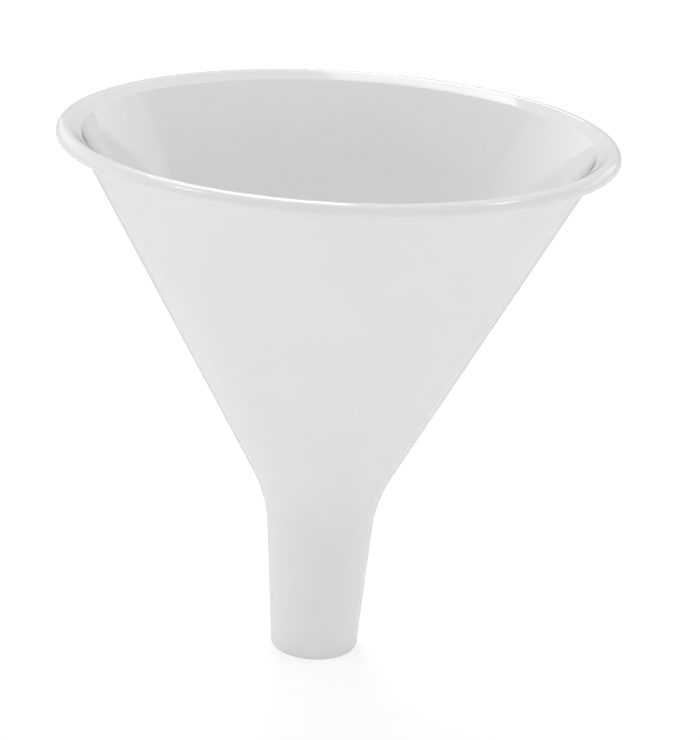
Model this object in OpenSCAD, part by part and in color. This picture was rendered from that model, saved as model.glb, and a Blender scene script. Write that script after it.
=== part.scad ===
// Plain kitchen funnel: a straight conical bowl with a turned-over lip, a blended neck and a tapered stem.
// The real one is a single moulding. It is drawn as four rings that meet along cuts square to the wall.
// The axis is Z, and the origin is the centre of the stem's open end. Sections are drawn with X as the
// radius and Y as the height.

/* [Bowl] */
// Height from the stem's end to the top of the lip
height = 121.8; // [90:0.2:160]
// Outside diameter at which the bowl's wall would meet the top of the lip
bowl_d = 114.6; // [80:0.2:160]
// Thickness of the bowl, neck and stem, square to the surface
wall = 1.5; // [1.2:0.1:2.4]

/* [Lip] */
// How far the lip stands out past the bowl's wall
lip_w = 2.7; // [2.5:0.1:6]
// Depth of the lip from its top to its underside
lip_h = 2.6; // [2.5:0.1:5]
// How far the bevel inside the lip reaches along its top and down the bowl
lip_bevel = 1.8; // [0.6:0.1:2.2]
// Radius of the bevel's two edges
lip_bevel_r = 0.8; // [0.2:0.1:1.2]
// Radius of the lip's outer shoulder
lip_shoulder_r = 1.9; // [0.5:0.1:2]
// Radius of the lip's lower edge
lip_edge_r = 0.5; // [0.2:0.1:0.6]
// Fillet between the bowl and the underside of the lip
lip_fillet_r = 2; // [0.3:0.1:3]
// Length of plain wall kept on the lip below its fillet
lip_root = 1; // [0.2:0.1:3]

/* [Neck] */
// Radius of the bend from stem to bowl, on the outside
neck_r = 35.5; // [15:0.5:60]

/* [Stem] */
// Height of the stem's straight taper
stem_len = 29.4; // [15:0.2:50]
// Outside diameter at the top of the stem
stem_top_d = 23.9; // [21:0.1:32]
// Outside diameter at the stem's open end
tip_d = 19.8; // [14:0.1:20.8]
// Radius of the two edges of the stem's open end
tip_edge_r = 0.4; // [0.1:0.05:0.45]

/* [Hidden] */
$fn = 180;
plastic = [0.90, 0.90, 0.91];

// Directions on a wall that leans out from the axis by an angle: up along it, and square to it away from the axis
function up_wall(lean) = [sin(lean), cos(lean)];
function off_wall(lean) = [cos(lean), -sin(lean)];

stem_lean = atan((stem_top_d - tip_d) / 2 / stem_len);
stem_top = [stem_top_d / 2, stem_len];

// The bowl's wall is the line from the lip that touches the neck's bend
neck_centre = stem_top + neck_r * off_wall(stem_lean);
bowl_top = [bowl_d / 2, height];
reach = bowl_top - neck_centre;
bowl_lean = atan2(reach[0], reach[1]) + asin(neck_r / norm(reach));
neck_top = neck_centre - neck_r * off_wall(bowl_lean);

// Where the bowl's inside would meet the top of the lip
bowl_mouth = bowl_top - [wall / cos(bowl_lean), 0];
lip_r = bowl_d / 2 + lip_w;
lip_under = height - lip_h;
lip_corner = [bowl_d / 2 - lip_h * tan(bowl_lean), lip_under];

// How far down the wall the lip's fillet and its bevel reach, and the cut below both
lip_turn = tan((90 - bowl_lean) / 2);
fillet_reach = norm(bowl_top - lip_corner) + lip_fillet_r * lip_turn;
bevel_reach = wall * tan(bowl_lean) + lip_bevel + lip_bevel_r;
lip_start = bowl_top - (max(fillet_reach, bevel_reach) + lip_root) * up_wall(bowl_lean);

// The inner side of the wall beside a point on its outer side
function inside(point, lean) = point - wall * off_wall(lean);

// An arc of radius r that touches both sides of a corner, which run from it along a and b: how far along them
// it touches, and its centre
function arc_touch(a, b, r) = r / tan(acos(a * b) / 2);
function arc_centre(corner, a, b, r) = corner + r / sin(acos(a * b) / 2) * (a + b) / norm(a + b);

// What rounding takes off a corner
module corner_sliver(corner, a, b, r) {
  touch = arc_touch(a, b, r);
  difference() {
    polygon([corner, corner + touch * a, corner + touch * b]);
    translate(arc_centre(corner, a, b, r)) circle(r);
  }
}

module rim_lip() {
  down_wall = -up_wall(bowl_lean);
  fillet_touch = arc_touch([1, 0], down_wall, lip_fillet_r);
  bevel_top = bowl_mouth + [lip_bevel, 0];
  bevel_foot = bowl_mouth + lip_bevel * down_wall;
  up_bevel = (bevel_top - bevel_foot) / norm(bevel_top - bevel_foot);
  color(plastic) rotate_extrude() difference() {
    polygon([
      lip_start,
      lip_corner + fillet_touch * down_wall,
      lip_corner + [fillet_touch, 0],
      [lip_r, lip_under],
      [lip_r, height],
      bevel_top,
      bevel_foot,
      inside(lip_start, bowl_lean)
    ]);
    translate(arc_centre(lip_corner, [1, 0], down_wall, lip_fillet_r)) circle(lip_fillet_r);
    corner_sliver(bevel_foot, up_bevel, down_wall, lip_bevel_r);
    corner_sliver(bevel_top, [1, 0], -up_bevel, lip_bevel_r);
    corner_sliver([lip_r, height], [-1, 0], [0, -1], lip_shoulder_r);
    corner_sliver([lip_r, lip_under], [-1, 0], [0, 1], lip_edge_r);
  }
}

module bowl() {
  color(plastic) rotate_extrude()
    polygon([neck_top, lip_start, inside(lip_start, bowl_lean), inside(neck_top, bowl_lean)]);
}

module neck() {
  wedge = (neck_r + wall) / cos((bowl_lean - stem_lean) / 2) + wall;
  color(plastic) rotate_extrude() translate(neck_centre) intersection() {
    difference() {
      circle(neck_r + wall);
      circle(neck_r);
    }
    polygon([[0, 0], -wedge * off_wall(stem_lean), -wedge * off_wall(bowl_lean)]);
  }
}

module stem() {
  tip = [tip_d / 2, 0];
  tip_bore = tip - [wall / cos(stem_lean), 0];
  color(plastic) rotate_extrude() difference() {
    polygon([tip, stem_top, inside(stem_top, stem_lean), tip_bore]);
    corner_sliver(tip, [-1, 0], up_wall(stem_lean), tip_edge_r);
    corner_sliver(tip_bore, [1, 0], up_wall(stem_lean), tip_edge_r);
  }
}

rim_lip();
bowl();
neck();
stem();
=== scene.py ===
import math

import bmesh
import bpy
from mathutils import Matrix, Vector


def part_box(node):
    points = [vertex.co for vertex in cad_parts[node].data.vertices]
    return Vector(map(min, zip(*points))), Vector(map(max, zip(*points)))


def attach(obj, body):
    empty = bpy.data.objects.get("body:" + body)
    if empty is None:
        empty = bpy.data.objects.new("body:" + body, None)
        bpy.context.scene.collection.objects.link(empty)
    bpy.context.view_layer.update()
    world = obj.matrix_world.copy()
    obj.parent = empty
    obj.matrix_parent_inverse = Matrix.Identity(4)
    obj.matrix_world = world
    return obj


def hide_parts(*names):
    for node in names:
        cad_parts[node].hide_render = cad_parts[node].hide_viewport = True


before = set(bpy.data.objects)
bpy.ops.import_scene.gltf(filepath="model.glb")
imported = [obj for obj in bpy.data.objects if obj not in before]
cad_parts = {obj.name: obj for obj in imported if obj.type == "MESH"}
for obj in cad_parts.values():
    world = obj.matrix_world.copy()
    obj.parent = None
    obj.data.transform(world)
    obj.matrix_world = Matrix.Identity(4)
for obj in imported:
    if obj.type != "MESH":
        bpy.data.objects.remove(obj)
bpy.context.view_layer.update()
scene = bpy.context.scene
scene.view_settings.view_transform = "Standard"


# The funnel wall: one injection moulding in natural polypropylene, about the same thickness all over.
# The lip, bowl, neck and stem run into each other without a joint, so one section holds them all and is
# turned round the axis. X is the radius in the section and Y is the height.
bowl_radius = 0.0573
neck_bend = 0.0355
stem_length = 0.0294
tip_radius = 0.0099
lip_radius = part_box("rim_lip")[1].x
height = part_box("rim_lip")[1].z
stem_top_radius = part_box("stem")[1].x
stem_lean = math.atan((stem_top_radius - tip_radius) / stem_length)

# The bowl's wall is the line from the lip that touches the neck's bend
bend_centre = Vector((stem_top_radius, stem_length))
bend_centre += neck_bend * Vector((math.cos(stem_lean), -math.sin(stem_lean)))
reach = Vector((bowl_radius, height)) - bend_centre
bowl_lean = math.atan2(reach.x, reach.y) + math.asin(neck_bend / reach.length)

wall_sizes = {
    "Wall": 0.0015,
    "Height": height,
    "Bowl radius": bowl_radius,
    "Bowl lean": bowl_lean,
    "Lip radius": lip_radius,
    "Lip depth": 0.0026,
    "Lip bevel": 0.0018,
    "Lip bevel rounding": 0.0008,
    "Lip shoulder rounding": 0.0019,
    "Lip edge rounding": 0.0005,
    "Lip fillet": 0.0020,
    "Neck bend": neck_bend,
    "Stem lean": stem_lean,
    "Tip radius": tip_radius,
    "Tip rounding": 0.0004,
    "Longest step": 0.0025,
}
wall_counts = {"Steps round": 256, "Steps in a rounding": 16}


class Wire:
    """An output socket. Arithmetic on wires adds Math nodes to their tree, and node() adds other kinds."""

    def __init__(self, socket):
        self.socket = socket

    @staticmethod
    def node(tree, kind, settings=None, sockets=None, out=0):
        made = tree.nodes.new(kind)
        for name, value in (settings or {}).items():
            setattr(made, name, value)
        for key, given in (sockets or {}).items():
            for value in given if isinstance(given, list) else [given]:
                if isinstance(value, Wire):
                    tree.links.new(value.socket, made.inputs[key])
                else:
                    made.inputs[key].default_value = value
        return Wire(made.outputs[out]) if made.outputs else made

    def output(self, name):
        return Wire(self.socket.node.outputs[name])

    @staticmethod
    def maths(operation, *terms):
        tree = next(term.socket.id_data for term in terms if isinstance(term, Wire))
        return Wire.node(tree, "ShaderNodeMath", {"operation": operation}, dict(enumerate(terms)))

    def __add__(self, other):
        return Wire.maths("ADD", self, other)

    def __sub__(self, other):
        return Wire.maths("SUBTRACT", self, other)

    def __rsub__(self, other):
        return Wire.maths("SUBTRACT", other, self)

    def __mul__(self, other):
        return Wire.maths("MULTIPLY", self, other)

    def __truediv__(self, other):
        return Wire.maths("DIVIDE", self, other)

    __radd__ = __add__
    __rmul__ = __mul__


def turned_wall_tree():
    tree = bpy.data.node_groups.new("turned wall", "GeometryNodeTree")
    for name in wall_sizes:
        tree.interface.new_socket(name, in_out="INPUT", socket_type="NodeSocketFloat")
    for name in wall_counts:
        tree.interface.new_socket(name, in_out="INPUT", socket_type="NodeSocketInt")
    tree.interface.new_socket("Finish", in_out="INPUT", socket_type="NodeSocketMaterial")
    tree.interface.new_socket("Wall", in_out="OUTPUT", socket_type="NodeSocketGeometry")
    given = Wire.node(tree, "NodeGroupInput")

    # Each side of the wall is two straight lines, which would meet in the neck if it had no bend
    tip, top = given.output("Tip radius"), given.output("Height")
    thickness = given.output("Wall")
    stem_slope = Wire.maths("TANGENT", given.output("Stem lean"))
    bowl_slope = Wire.maths("TANGENT", given.output("Bowl lean"))
    bore = tip - thickness / Wire.maths("COSINE", given.output("Stem lean"))
    outer_mouth = given.output("Bowl radius")
    bowl_out = Wire.maths("SINE", given.output("Bowl lean"))
    bowl_up = Wire.maths("COSINE", given.output("Bowl lean"))
    mouth = outer_mouth - thickness / bowl_up

    def neck_height(at_tip, at_top):
        return (at_tip - at_top + bowl_slope * top) / (bowl_slope - stem_slope)

    def corner(radius, up, rounding):
        place = Wire.node(tree, "ShaderNodeCombineXYZ", sockets={"X": radius, "Y": up})
        return Wire.node(tree, "GeometryNodePoints", sockets={"Position": place, "Radius": rounding})

    neck_out = neck_height(tip, outer_mouth)
    neck_in = neck_height(bore, mouth)
    under_lip = top - given.output("Lip depth")
    bevel, bend, edge = (given.output(name) for name in ("Lip bevel", "Neck bend", "Tip rounding"))
    corners = [
        corner(tip, 0.0, edge),
        corner(tip + neck_out * stem_slope, neck_out, bend),
        corner(outer_mouth - given.output("Lip depth") * bowl_slope, under_lip, given.output("Lip fillet")),
        corner(given.output("Lip radius"), under_lip, given.output("Lip edge rounding")),
        corner(given.output("Lip radius"), top, given.output("Lip shoulder rounding")),
        corner(mouth + bevel, top, given.output("Lip bevel rounding")),
        corner(mouth - bevel * bowl_out, top - bevel * bowl_up, given.output("Lip bevel rounding")),
        corner(bore + neck_in * stem_slope, neck_in, bend + thickness),
        corner(bore, 0.0, edge),
    ]
    points = Wire.node(tree, "GeometryNodeJoinGeometry", sockets={"Geometry": corners})
    outline = Wire.node(tree, "GeometryNodePointsToCurves", sockets={"Points": points})
    outline = Wire.node(tree, "GeometryNodeSetSplineCyclic", sockets={"Geometry": outline, "Cyclic": True})
    section = Wire.node(
        tree,
        "GeometryNodeFilletCurve",
        {"mode": "POLY"},
        {
            "Curve": outline,
            "Count": given.output("Steps in a rounding"),
            "Radius": Wire.node(tree, "GeometryNodeInputRadius"),
        },
    )

    # The long straight runs are cut into short steps, so that the shading bends only where the wall does
    here = Wire.node(tree, "GeometryNodeInputPosition")
    following = Wire.node(tree, "GeometryNodeOffsetPointInCurve", sockets={"Offset": 1}, out="Point Index")
    ahead = Wire.node(
        tree,
        "GeometryNodeFieldAtIndex",
        {"data_type": "FLOAT_VECTOR"},
        {"Value": here, "Index": following},
    )
    run = Wire.node(tree, "ShaderNodeVectorMath", {"operation": "DISTANCE"}, {0: here, 1: ahead}, "Value")
    cuts = Wire.maths("FLOOR", run / given.output("Longest step"))
    section = Wire.node(tree, "GeometryNodeSubdivideCurve", sockets={"Curve": section, "Cuts": cuts})

    # A section is carried round the ring with its X outwards and its Y down
    ring_radius = given.output("Lip radius")
    inwards = Wire.node(tree, "ShaderNodeCombineXYZ", sockets={"X": 0 - ring_radius})
    section = Wire.node(
        tree,
        "GeometryNodeTransform",
        sockets={"Geometry": section, "Translation": inwards, "Scale": (1, -1, 1)},
    )
    ring = Wire.node(
        tree,
        "GeometryNodeCurvePrimitiveCircle",
        sockets={"Resolution": given.output("Steps round"), "Radius": ring_radius},
    )
    turned = Wire.node(tree, "GeometryNodeCurveToMesh", sockets={"Curve": ring, "Profile Curve": section})
    turned = Wire.node(tree, "GeometryNodeSetShadeSmooth", sockets={"Geometry": turned})
    turned = Wire.node(tree, "GeometryNodeRealizeInstances", sockets={"Geometry": turned})
    turned = Wire.node(
        tree,
        "GeometryNodeSetMaterial",
        sockets={"Geometry": turned, "Material": given.output("Finish")},
    )
    Wire.node(tree, "NodeGroupOutput", sockets={"Wall": turned})
    return tree


def natural_polypropylene():
    material = bpy.data.materials.new("natural_polypropylene")
    material.use_nodes = True
    tree = material.node_tree
    surface = tree.nodes["Principled BSDF"]
    place = Wire.node(tree, "ShaderNodeTexCoord", out="Object")

    # Unpigmented resin is faintly clouded where it flowed, with a fine grain of crystals
    cloud = Wire.node(tree, "ShaderNodeTexNoise", sockets={"Vector": place, "Scale": 45.0, "Detail": 3.0})
    grain = Wire.node(tree, "ShaderNodeTexNoise", sockets={"Vector": place, "Scale": 1400.0, "Detail": 2.0})
    tone = Wire.node(
        tree,
        "ShaderNodeMix",
        {"data_type": "RGBA"},
        {"Factor": cloud * 0.7 + grain * 0.3, "A": (0.84, 0.84, 0.828, 1), "B": (0.90, 0.90, 0.888, 1)},
        "Result",
    )
    tree.links.new(tone.socket, surface.inputs["Base Color"])
    tree.links.new((0.05 + cloud * 0.04).socket, surface.inputs["Roughness"])
    surface.inputs["IOR"].default_value = 1.49
    surface.inputs["Subsurface Weight"].default_value = 1.0
    surface.inputs["Subsurface Radius"].default_value = (1.0, 1.0, 1.0)
    surface.inputs["Subsurface Scale"].default_value = 0.001

    # The skin of the moulding is clear, and takes a little light from what is seen through it at a slant
    surface.inputs["Coat Weight"].default_value = 1.0
    surface.inputs["Coat Roughness"].default_value = 0.05
    surface.inputs["Coat IOR"].default_value = 1.001
    surface.inputs["Coat Tint"].default_value = (0.975, 0.975, 0.975, 1)
    return material


finish = natural_polypropylene()
funnel = bpy.data.objects.new("funnel_wall", bpy.data.meshes.new("funnel_wall"))
scene.collection.objects.link(funnel)
turning = funnel.modifiers.new("turned wall", "NODES")
turning.node_group = turned_wall_tree()
for item in turning.node_group.interface.items_tree:
    if item.in_out == "INPUT":
        turning[item.identifier] = {**wall_sizes, **wall_counts, "Finish": finish}[item.name]
depsgraph = bpy.context.evaluated_depsgraph_get()
turned_mesh = bpy.data.meshes.new_from_object(funnel.evaluated_get(depsgraph), depsgraph=depsgraph)
funnel.modifiers.remove(turning)
funnel.data = turned_mesh

merge_distance = 1e-7
shell = bmesh.new()
shell.from_mesh(turned_mesh)
bmesh.ops.remove_doubles(shell, verts=shell.verts, dist=merge_distance)
bmesh.ops.recalc_face_normals(shell, faces=shell.faces)
shell.to_mesh(turned_mesh)
shell.free()
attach(funnel, "root")
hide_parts("rim_lip", "bowl", "neck", "stem")


# The floor: a plain white table top, which the stem stands on.
# To the eye and in gloss it is nearly all white by itself, and the rest of it takes the funnel's shadow.
floor_radius = 3.0
floor_steps = 96
floor_colour = 0.97
seen_colour = 0.40
seen_glow = 0.66


def seen_by_eye(tree):
    ray = Wire.node(tree, "ShaderNodeLightPath")
    seen = Wire.maths("MAXIMUM", ray.output("Is Camera Ray"), ray.output("Is Glossy Ray"))
    return Wire.maths("MAXIMUM", seen, ray.output("Is Transmission Ray"))


disc = bmesh.new()
bmesh.ops.create_circle(disc, cap_ends=True, radius=floor_radius, segments=floor_steps)
floor_mesh = bpy.data.meshes.new("floor")
disc.to_mesh(floor_mesh)
disc.free()
floor = bpy.data.objects.new("floor", floor_mesh)
scene.collection.objects.link(floor)
paper = bpy.data.materials.new("white_paper")
paper.use_nodes = True
paper_tree = paper.node_tree
paper_surface = paper_tree.nodes["Principled BSDF"]
seen = seen_by_eye(paper_tree)
paper_colour = floor_colour + seen * (seen_colour - floor_colour)
paper_tree.links.new(paper_colour.socket, paper_surface.inputs["Base Color"])
paper_tree.links.new((seen * seen_glow).socket, paper_surface.inputs["Emission Strength"])
paper_surface.inputs["Emission Color"].default_value = (1, 1, 1, 1)
paper_surface.inputs["Roughness"].default_value = 1.0
paper_surface.inputs["Specular IOR Level"].default_value = 0.0
floor_mesh.materials.append(paper)


# The light: a plain, faintly cool room, brighter low down in front, and a pale grey backdrop to the eye.
# Two low soft boxes behind brighten the ends of the inside. A high one behind and a leaning strip overhead
# draw the bright lines along the lip, and two small ones add the short glints at its left and right.
room_colour = (0.967, 0.967, 1, 1)
room_light = 0.59
front_light = 0.66
front_edge = 0.05
low_start, low_end = 0.15, 0.30
backdrop = 0.72
world = bpy.data.worlds.new("studio")
scene.world = world
world.use_nodes = True
sky = world.node_tree
axes = Wire.node(
    sky,
    "ShaderNodeSeparateXYZ",
    sockets={"Vector": Wire.node(sky, "ShaderNodeTexCoord", out="Generated")},
)


def fade_in(value, start, end):
    limits = {"Value": value, "From Min": start, "From Max": end}
    return Wire.node(sky, "ShaderNodeMapRange", {"interpolation_type": "SMOOTHSTEP"}, limits)


in_front = 1 - fade_in(axes.output("Y"), -front_edge, front_edge)
low_down = 1 - fade_in(axes.output("Z"), low_start, low_end)
given_off = room_light + front_light * in_front * low_down
strength = given_off + seen_by_eye(sky) * (backdrop - given_off)
sky.links.new(strength.socket, sky.nodes["Background"].inputs["Strength"])
sky.nodes["Background"].inputs["Color"].default_value = room_colour

# Each box's direction from the lip as azimuth and elevation, its width and height as seen from there and
# how far it leans over, all in degrees, and its brightness, where 1 is white
soft_boxes = {
    "left_panel": (145, 15, 70, 24, 0, 0.62),
    "right_panel": (43.5, 14, 37, 18, 0, 0.75),
    "back_box": (100, 44, 13.5, 32, 0, 5.5),
    "overhead_strip": (116.5, 60.8, 10, 33, 35, 3.2),
    "left_glint": (192, 48.5, 10, 11, 0, 8),
    "right_glint": (13.5, 51, 8, 13, 0, 9),
}
box_distance = 1.5
for name, (azimuth, elevation, wide, tall, leaning, brightness) in soft_boxes.items():
    box_light = bpy.data.lights.new(name, "AREA")
    box_light.shape = "RECTANGLE"
    box_light.size = 2 * box_distance * math.tan(math.radians(wide / 2))
    box_light.size_y = 2 * box_distance * math.tan(math.radians(tall / 2))
    box_light.energy = brightness * math.pi * box_light.size * box_light.size_y
    box = bpy.data.objects.new(name, box_light)
    outwards = Vector((math.cos(math.radians(elevation)), 0, math.sin(math.radians(elevation))))
    outwards.rotate(Matrix.Rotation(math.radians(azimuth), 3, "Z"))
    facing = outwards.to_track_quat("Z", "Y").to_matrix()
    box.location = Vector((0, 0, height)) + box_distance * outwards
    box.rotation_euler = (facing @ Matrix.Rotation(math.radians(leaning), 3, "Z")).to_euler()
    scene.collection.objects.link(box)


# The camera: a long lens a little above the lip, tilted sideways by a few degrees.
# The funnel's middle and the lens's own axis are placed by their pixels in the photograph.
image_width, image_height = 700, 740
sensor_side = 36.0
look_at = Vector((0, 0, 0.060))
look_at_pixel = Vector((326.5, 399.3))
axis_pixel = Vector((400.0, 370.0))
camera_distance = 0.480
camera_elevation = math.radians(20.03)
camera_roll = math.radians(3.73)
pixels_per_metre = 4484.0
back = Vector((0, -math.cos(camera_elevation), math.sin(camera_elevation)))
level = Vector((1, 0, 0))
upright = back.cross(level)
right = math.cos(camera_roll) * level + math.sin(camera_roll) * upright
up = back.cross(right)
offset = (axis_pixel - look_at_pixel) / pixels_per_metre
camera_data = bpy.data.cameras.new("camera")
camera_data.sensor_width = sensor_side
camera_data.lens = sensor_side * pixels_per_metre * camera_distance / max(image_width, image_height)
camera_data.shift_x = (image_width / 2 - axis_pixel.x) / max(image_width, image_height)
camera_data.shift_y = (axis_pixel.y - image_height / 2) / max(image_width, image_height)
camera = bpy.data.objects.new("camera", camera_data)
turn = Matrix((right, up, back)).transposed().to_4x4()
stand = look_at + camera_distance * back + offset.x * right - offset.y * up
camera.matrix_world = Matrix.Translation(stand) @ turn
scene.collection.objects.link(camera)
scene.camera = camera
